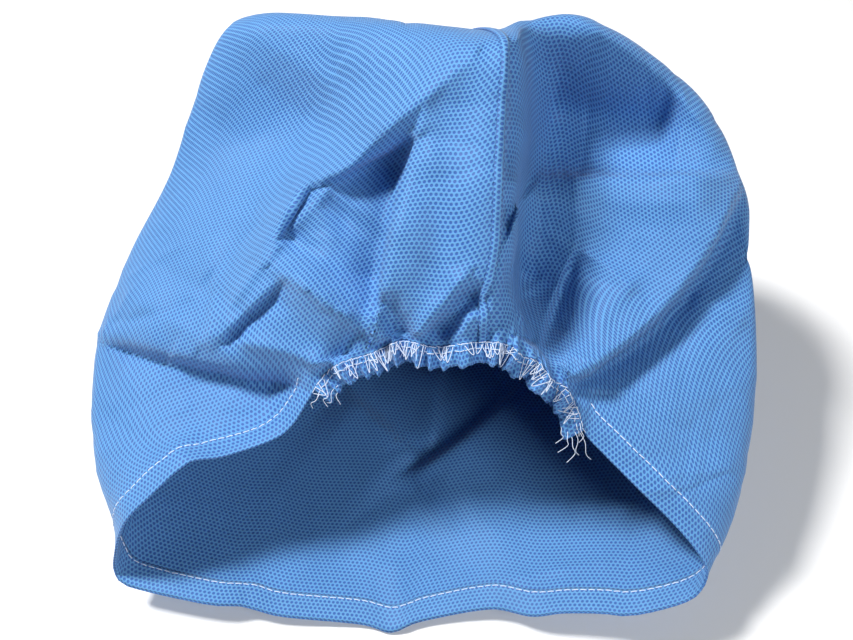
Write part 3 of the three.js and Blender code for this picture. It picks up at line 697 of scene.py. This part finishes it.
# The strip is found among this many of the cloth's columns, and stops this many rows before the last
SEAM_STRIP_COLUMNS = 12
ROWS_PAST_STRIP = 8
strip_across = np.linspace(*SEAM_STRIP, SEAM_STRIP_ROWS)
beside_seam = slice(seam_column, seam_column + SEAM_STRIP_COLUMNS)
strip_rows = slice(0, row_count - ROWS_PAST_STRIP)
strip_lengths = from_seam[strip_rows, beside_seam].T
strip_line = at_length(outer[strip_rows, beside_seam].transpose(1, 0, 2), strip_lengths, strip_across)
strip_out = unit(at_length(
    normals[strip_rows, beside_seam].transpose(1, 0, 2), strip_lengths, strip_across))
strip_arch = np.sin(np.linspace(*SEAM_STRIP_ARCH, SEAM_STRIP_ROWS))
strip_crown = (SEAM_STRIP_BASE + SEAM_STRIP_HEIGHT * strip_arch)[:, None, None]
seam_strip = ribbon(
    "seam_strip", strip_line + strip_crown * strip_out, strip_line + SEAM_STRIP_LIFT * strip_out,
    length_along[strip_rows, seam_column], strip_across, CLOTH_BLUE)
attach(seam_strip, "root")
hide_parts("crown_seam")

# Nape channel: the edge of the cloth turned over a cord of elastic and overcast, so that it bunches into
# ruffles about 8 mm deep from the left end of the nape to the right.
BAND_WIDTH = 8.5
BAND_SAMPLES = 560
BAND_PROFILE = (
    # share of the width down, and height over the cloth's face
    (-0.06, 0.1), (0.1, 0.6), (0.35, 1.0), (0.65, 1.1), (0.9, 0.8), (1.0, 0.1),
    (1.0, -0.6), (0.85, -1.1), (0.45, -1.2), (0.1, -1.0), (-0.04, -0.6),
)
BAND_RUFFLES = (
    # count, depth, unevenness
    (19, 1.3, 0.02),
    (43, 0.45, 0.01),
)
RUFFLE_CREST = 1.1
# Half waves along the channel over which the ruffles are wider and narrower by turns
RUFFLE_DRIFTS = 9
BAND_FADE = (-0.01, 0.03)
BAND_SCALLOP = 1.5
BAND_SPAN = 0.15
# The line whose length the pattern of dots follows, as a share of the width down and a height
BAND_PATTERN_LINE = (0.6, 0.0)
BAND_CLOSING_STEP = 1.0
band_around = np.linspace(NAPE_FROM, NAPE_TO, BAND_SAMPLES)[None, :]
band_edge = cloth_points(band_around, np.zeros_like(band_around))[0]
band_run = (rim_points(band_around + BAND_SPAN) - rim_points(band_around - BAND_SPAN))[0]
# Downwards is square to the edge as the viewer sees it, and outwards is towards the viewer
band_down = unit(np.cross(LOOKING, band_run))
band_out = unit(np.cross(band_down, band_run))
band_share = nape_share(band_around[0])


def ruffle(count, depth, uneven):
    """One row of ruffles along the channel, sharp on their crests and round in their valleys."""
    drift = uneven * np.sin(RUFFLE_DRIFTS * band_share * math.pi)
    return depth * (RUFFLE_CREST - 2 * np.abs(np.sin(math.pi * count * (band_share + drift))))


band_ruffle = sum(ruffle(*row) for row in BAND_RUFFLES)
band_fade = smoothstep(np.minimum(band_share, 1 - band_share), *BAND_FADE)
band_ruffle = band_ruffle * band_fade
band_length = BAND_WIDTH - BAND_SCALLOP * (0.5 - 0.5 * np.tanh(band_ruffle))


def band_line(down, height):
    """A line along the channel, a share of its width down from the sewn line and a height over it."""
    offset = height + band_ruffle * min(max(down, 0.0), 1.0)
    return band_edge + band_down * (band_length * down)[:, None] + band_out * offset[:, None]


band_loop = np.array([band_line(down, height) for down, height in BAND_PROFILE])
band_across = lengths_to(band_loop[:, BAND_SAMPLES // 2])
band_along = lengths_to(band_line(*BAND_PATTERN_LINE))
band_points = band_loop.reshape(-1, 3)
row, column = grid_corners(len(BAND_PROFILE) + 1, BAND_SAMPLES, closed=False)
band_faces = (row % len(BAND_PROFILE)) * BAND_SAMPLES + column
band_across = np.append(band_across, band_across[-1] + BAND_CLOSING_STEP)
band_uvs = np.stack([band_along[column], band_across[row]], axis=-1)
CHANNEL_BLUE = nonwoven("nape channel cloth", "#5a99d6", "#1c489a")
band = mesh_object("nape_channel", band_points, band_faces, band_uvs, CHANNEL_BLUE)
turn_outwards(band, fill_ends=True)
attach(band, "root")
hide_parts("nape_band")

# Hem stitches: one row of white lockstitch, 3 mm to the stitch, about 9.5 mm from the edge. The needle
# thread shows outside and the bobbin thread on the turned strip inside.
STITCH_FROM_EDGE = 9.4
STITCH_LIFT = 0.10
THREAD_WHITE = bpy.data.materials.new("white thread")
THREAD_WHITE.use_nodes = True
add, feed = node_tools(THREAD_WHITE.node_tree)
twist = add("ShaderNodeTexNoise", {
    "Scale": 3500.0, "Vector": add("ShaderNodeTexCoord").outputs["Object"]}).outputs["Fac"]
twist_tone = add("ShaderNodeMix", {
    "Factor": twist, "A": linear("#b9cfec"), "B": linear("#f4f8ff")}, data_type="RGBA")
thread_surface = THREAD_WHITE.node_tree.nodes["Principled BSDF"]
feed(thread_surface.inputs["Base Color"], twist_tone.outputs["Result"])
feed(thread_surface.inputs["Roughness"], 0.5)


def path_mesh(name, path, outwards, density=None):
    """A line of edges through the path's points, with the way that the cloth faces at each, and how much
    of the line has loops there."""
    mesh = bpy.data.meshes.new(name)
    points = (path - CENTRE) * MM
    mesh.from_pydata(points.tolist(), [(index, index + 1) for index in range(len(points) - 1)], [])
    faces = mesh.attributes.new("outwards", "FLOAT_VECTOR", "POINT")
    faces.data.foreach_set("vector", outwards.astype(np.float32).ravel())
    if density is not None:
        shares = mesh.attributes.new("density", "FLOAT", "POINT")
        shares.data.foreach_set("value", density.astype(np.float32))
    return in_scene(name, mesh)


def set_inputs(modifier, values):
    for item in modifier.node_group.interface.items_tree:
        if item.item_type == "SOCKET" and item.in_out == "INPUT" and item.name in values:
            modifier[item.identifier] = values[item.name]


def made_with(name, line, group, values):
    """The mesh that a Geometry Nodes group makes of a line, as a plain object of its own."""
    modifier = line.modifiers.new("made", "NODES")
    modifier.node_group = group
    set_inputs(modifier, values)
    evaluated = line.evaluated_get(bpy.context.evaluated_depsgraph_get())
    mesh = bpy.data.meshes.new_from_object(evaluated)
    mesh.name = name
    line.modifiers.remove(modifier)
    bpy.data.objects.remove(line)
    return in_scene(name, mesh)


THREAD_SIDES = 6


def finish_thread(add, feed, given, made, curve):
    """The end of each thread tree: a round thread on the curve, with its finish."""
    round_section = add("GeometryNodeCurvePrimitiveCircle", {
        "Resolution": THREAD_SIDES, "Radius": given["Thread Radius"]})
    tube = add("GeometryNodeCurveToMesh", {
        "Curve": curve, "Profile Curve": round_section.outputs["Curve"], "Fill Caps": True})
    smooth = add("GeometryNodeSetShadeSmooth", {"Geometry": tube.outputs["Mesh"]})
    finished = add("GeometryNodeSetMaterial", {
        "Geometry": smooth.outputs["Geometry"], "Material": given["Material"]})
    feed(made["Geometry"], finished.outputs["Geometry"])


def spaced_line(add, given, spacing):
    """The given line as a curve whose points are the places of the stitches."""
    line = add("GeometryNodeMeshToCurve", {"Mesh": given["Geometry"]})
    spaced_out = add("GeometryNodeResampleCurve", {
        "Curve": line.outputs["Curve"], "Length": spacing}, mode="LENGTH")
    return spaced_out.outputs["Curve"]


def turned_along(add):
    """A turn that lays X along the path and Z the way that the cloth faces."""
    facing = add("GeometryNodeInputNamedAttribute", {"Name": "outwards"}, data_type="FLOAT_VECTOR")
    turn = add("FunctionNodeAxesToRotation", {
        "Primary Axis": add("GeometryNodeInputTangent").outputs["Tangent"],
        "Secondary Axis": facing.outputs["Attribute"]}, primary_axis="X", secondary_axis="Z")
    return turn.outputs["Rotation"]


def set_askew(add, placed, most, seed):
    """The placed stitches, each turned a little at random, as real curves."""
    turn = add("FunctionNodeRandomValue", {
        2: math_node(add, "MULTIPLY", most, -1.0), 3: most, "Seed": seed}, data_type="FLOAT")
    tilt = add("ShaderNodeCombineXYZ", {"Z": turn.outputs[1]})
    tilted = add("GeometryNodeRotateInstances", {
        "Instances": placed.outputs["Instances"], "Rotation": tilt.outputs[0]})
    real = add("GeometryNodeRealizeInstances", {"Geometry": tilted.outputs["Instances"]})
    return real.outputs["Geometry"]


def lockstitch():
    tree, add, feed, given, made = new_group(
        "Lockstitch", "GeometryNodeTree",
        (("Geometry", "Geometry", None), ("Stitch Length", "Float", 0.003), ("Shown Share", "Float", 0.82),
         ("Thread Radius", "Float", 0.00022), ("Crown", "Float", 1.6), ("Sideways", "Float", 0.10),
         ("Seed", "Int", 5), ("Material", "Material", None)),
        (("Geometry", "Geometry", None),))
    half = math_node(add, "MULTIPLY", math_node(
        add, "MULTIPLY", given["Stitch Length"], given["Shown Share"]), 0.5)
    sunk = math_node(add, "MULTIPLY", given["Thread Radius"], -1.0)
    start, end = [add("ShaderNodeCombineXYZ", {
        "X": math_node(add, "MULTIPLY", half, sign), "Z": sunk}).outputs[0] for sign in (-1.0, 1.0)]
    crown = add("ShaderNodeCombineXYZ", {
        "Z": math_node(add, "MULTIPLY", given["Thread Radius"], given["Crown"])})
    stitch = add("GeometryNodeCurveQuadraticBezier", {
        "Resolution": 6, "Start": start, "Middle": crown.outputs[0], "End": end})
    placed = add("GeometryNodeInstanceOnPoints", {
        "Points": spaced_line(add, given, given["Stitch Length"]), "Instance": stitch.outputs["Curve"],
        "Rotation": turned_along(add)})
    finish_thread(add, feed, given, made, set_askew(add, placed, given["Sideways"], given["Seed"]))
    return tree


LOCKSTITCH = lockstitch()
wanted = np.array([STITCH_FROM_EDGE])
outside = at_length(outer[:, hem_columns], length_along[:, hem_columns], wanted)[0]
outside_way = unit(at_length(normals[:, hem_columns], length_along[:, hem_columns], wanted)[0])
inside = outside - outside_way * (CLOTH_THICKNESS + HEM_GAP + HEM_THICKNESS)
stitch_values = {"Stitch Length": 0.0031, "Shown Share": 0.74, "Thread Radius": 0.00018, "Sideways": 0.10,
                 "Seed": 5, "Material": THREAD_WHITE}
needle = made_with("hem_needle_thread", path_mesh(
    "needle line", outside + outside_way * STITCH_LIFT, outside_way), LOCKSTITCH, stitch_values)
bobbin = made_with("hem_bobbin_thread", path_mesh(
    "bobbin line", inside - outside_way * STITCH_LIFT, -outside_way), LOCKSTITCH, stitch_values)
for thread in (needle, bobbin):
    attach(thread, "root")

# Overcast threads: white thread loops on the face of the nape channel, in a row of narrow U shapes that
# reach down towards its edge, with one needle line along their tops and one across them.
LOOP_PITCH = 0.0021
LOOP_CORNERS = (
    # end or handle of the curve, and shares of the loop's width across, its depth down and its slack out
    ("Start", -0.5, 0.0, 0.1),
    ("Start Handle", -0.1, 1.28, 1.7),
    ("End Handle", 0.1, 1.28, 1.7),
    ("End", 0.5, 0.0, 0.1),
)
# Each loop has its own size, from the least to the most: shares of the width, the depth and the slack
LEAST_LOOP = (0.5, 0.45, 0.5)
MOST_LOOP = (1.7, 1.02, 1.5)


def overcast():
    tree, add, feed, given, made = new_group(
        "Overcast loops", "GeometryNodeTree",
        (("Geometry", "Geometry", None), ("Loop Pitch", "Float", 0.0026), ("Loop Width", "Float", 0.0017),
         ("Loop Depth", "Float", 0.0088), ("Slack", "Float", 0.0012), ("Askew", "Float", 0.35),
         ("Thread Radius", "Float", 0.00017), ("Seed", "Int", 3), ("Material", "Material", None)),
        (("Geometry", "Geometry", None),))
    corners = {name: add("ShaderNodeCombineXYZ", {
        "X": math_node(add, "MULTIPLY", given["Loop Width"], across),
        "Y": math_node(add, "MULTIPLY", given["Loop Depth"], -down),
        "Z": math_node(add, "MULTIPLY", given["Slack"], out)}).outputs[0]
        for name, across, down, out in LOOP_CORNERS}
    loop = add("GeometryNodeCurvePrimitiveBezierSegment", {"Resolution": 14, **corners})
    density = add("GeometryNodeInputNamedAttribute", {"Name": "density"}, data_type="FLOAT")
    askew_seed, chance_seed = [math_node(add, "ADD", given["Seed"], step) for step in (1.0, 2.0)]
    chance = add("FunctionNodeRandomValue", {"Seed": chance_seed})
    size = add("FunctionNodeRandomValue", {
        0: LEAST_LOOP, 1: MOST_LOOP, "Seed": given["Seed"]}, data_type="FLOAT_VECTOR")
    placed = add("GeometryNodeInstanceOnPoints", {
        "Points": spaced_line(add, given, given["Loop Pitch"]), "Instance": loop.outputs["Curve"],
        "Selection": math_node(add, "LESS_THAN", chance.outputs[1], density.outputs["Attribute"]),
        "Rotation": turned_along(add), "Scale": size.outputs[0]})
    finish_thread(add, feed, given, made, set_askew(add, placed, given["Askew"], askew_seed))
    return tree


OVERCAST = overcast()
# The stitching is dense in two places, and elsewhere some of its loops have slipped behind the ruffles
DENSE_STRETCHES = ((-16.0, 0.0), (18.0, 31.0))
LOOPS_ELSEWHERE = 0.55
# The lines along the channel that the threads follow: a share of the width down and a height, and a seed
LOOP_TOPS = (0.04, 1.0)
NEEDLE_LINES = (("nape_needle_upper", 0.0, 0.75, 11), ("nape_needle_lower", 0.28, 1.15, 12))
seen_across = seen_at(band_edge)[0]
loop_density = np.full(BAND_SAMPLES, LOOPS_ELSEWHERE)
for low, high in DENSE_STRETCHES:
    loop_density[(seen_across > low) & (seen_across < high)] = 1.0
loop_line = path_mesh("loop line", band_line(*LOOP_TOPS), band_out, loop_density)
loops = made_with("overcast_loops", loop_line, OVERCAST, {
    "Loop Pitch": LOOP_PITCH, "Loop Width": 0.0019, "Loop Depth": 0.0078, "Slack": 0.0010, "Askew": 0.55,
    "Thread Radius": 0.00013, "Seed": 3, "Material": THREAD_WHITE})
lines = []
for name, down, height, seed in NEEDLE_LINES:
    needle_line = path_mesh("needle line", band_line(down, height), band_out)
    lines.append(made_with(name, needle_line, LOCKSTITCH, {
        "Stitch Length": 0.0030, "Shown Share": 0.8, "Thread Radius": 0.00014, "Sideways": 0.35,
        "Seed": seed, "Material": THREAD_WHITE}))
for thread in (loops, *lines):
    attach(thread, "root")

# Thread tails: where the overcasting starts and stops, a few loose ends curl beyond the channel
TAIL_COLUMNS = ("from_share", "down", "reach", "drop", "curl", "out")
TAILS = (
    (0.01, 0.6, -5.0, 2.0, 1.5, 1.0), (0.02, 0.9, -3.0, 4.0, -1.2, 1.5), (0.00, 0.3, -6.0, 0.5, 1.0, 1.5),
    (0.03, 0.7, -8.0, 2.5, -1.5, 2.0),
    (0.97, 0.1, 7.0, 2.0, 1.0, 1.5), (0.99, 0.4, 9.0, 2.5, -1.2, 1.0), (0.98, 0.7, 6.0, 5.0, 1.5, 2.0),
    (1.00, 0.2, 11.0, 1.0, -1.0, 1.0), (0.96, 0.9, 5.0, 3.0, 1.5, 1.0), (1.00, 0.6, 8.0, 4.5, 1.6, 1.6),
)
TAIL_STEPS = 22
TAIL_LIFT = 1.2
TAIL_DROOP = 1.6
TAIL_CURLS = 2.2
TAIL_RADIUS = 0.00012


def loose_thread():
    tree, add, feed, given, made = new_group(
        "Loose thread", "GeometryNodeTree",
        (("Geometry", "Geometry", None), ("Thread Radius", "Float", 0.00016),
         ("Material", "Material", None)),
        (("Geometry", "Geometry", None),))
    line = add("GeometryNodeMeshToCurve", {"Mesh": given["Geometry"]})
    real = add("GeometryNodeRealizeInstances", {"Geometry": line.outputs["Curve"]})
    finish_thread(add, feed, given, made, real.outputs["Geometry"])
    return tree


LOOSE_THREAD = loose_thread()
for number, row in enumerate(TAILS, start=1):
    tail = dict(zip(TAIL_COLUMNS, row))
    place = int(round(tail["from_share"] * (BAND_SAMPLES - 1)))
    t = np.linspace(0, 1, TAIL_STEPS)[:, None]
    along_band, down_band, out_band = unit(band_run)[place], band_down[place], band_out[place]
    start = band_edge[place] + down_band * BAND_WIDTH * tail["down"] + out_band * TAIL_LIFT
    droop = tail["drop"] * t**TAIL_DROOP + tail["curl"] * np.sin(TAIL_CURLS * math.pi * t) * t
    lift = tail["out"] * np.sin(math.pi * t)
    path = start + along_band * (tail["reach"] * t) + down_band * droop + out_band * lift
    tail_line = path_mesh("tail line", path, np.tile(out_band, (TAIL_STEPS, 1)))
    loose = made_with(f"thread_tail_{number}", tail_line, LOOSE_THREAD, {
        "Thread Radius": TAIL_RADIUS, "Material": THREAD_WHITE})
    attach(loose, "root")

# Floor, light and camera: the cap lies on a plain white table, with one light above it and to the left, and
# a weaker, wider one in front and to the right.
FLOOR_HALF = 4.0
FLOOR_DROP = 0.0002
floor_mesh = bpy.data.meshes.new("floor")
floor_mesh.from_pydata(
    [(FLOOR_HALF * x, FLOOR_HALF * y, 0) for x, y in ((-1, -1), (1, -1), (1, 1), (-1, 1))],
    [], [(0, 1, 2, 3)])
floor = in_scene("floor", floor_mesh)
floor.location.z = -FLOOR_DROP
floor_paint = bpy.data.materials.new("floor")
floor_paint.use_nodes = True
floor_surface = floor_paint.node_tree.nodes["Principled BSDF"]
floor_surface.inputs["Base Color"].default_value = (0.9, 0.9, 0.9, 1)
floor_surface.inputs["Roughness"].default_value = 0.9
floor_mesh.materials.append(floor_paint)

LIGHTS = (
    # name, place, size, watts, colour
    ("window", (-0.62, 0.16, 1.15), 0.22, 22, (1.0, 0.99, 0.97)),
    ("fill", (0.75, -0.80, 1.0), 0.6, 10, (0.97, 0.98, 1.0)),
)
LIT_POINT = Vector((0, 0, 0.06))
for name, place, size, watts, colour in LIGHTS:
    lamp = bpy.data.lights.new(name, "AREA")
    lamp.size, lamp.energy, lamp.color = size, watts, colour
    light = in_scene(name, lamp)
    light.location = place
    light.rotation_euler = (LIT_POINT - light.location).to_track_quat("-Z", "Y").to_euler()
world = bpy.data.worlds.new("studio")
world.use_nodes = True
world.node_tree.nodes["Background"].inputs["Color"].default_value = (0.95, 0.97, 1.0, 1)
world.node_tree.nodes["Background"].inputs["Strength"].default_value = 0.12
bpy.context.scene.world = world
bpy.context.scene.view_settings.view_transform = "Standard"

LENS, SENSOR = 38.6, 36.0
camera_data = bpy.data.cameras.new("camera")
camera_data.lens, camera_data.sensor_width = LENS, SENSOR
camera_data.clip_start, camera_data.clip_end = 0.02, 20.0
camera = in_scene("camera", camera_data)
camera.location = ((EYE - CENTRE) * MM).tolist()
camera.rotation_euler = (math.pi / 2 - LOOKING_DOWN, 0, 0)
bpy.context.scene.camera = camera
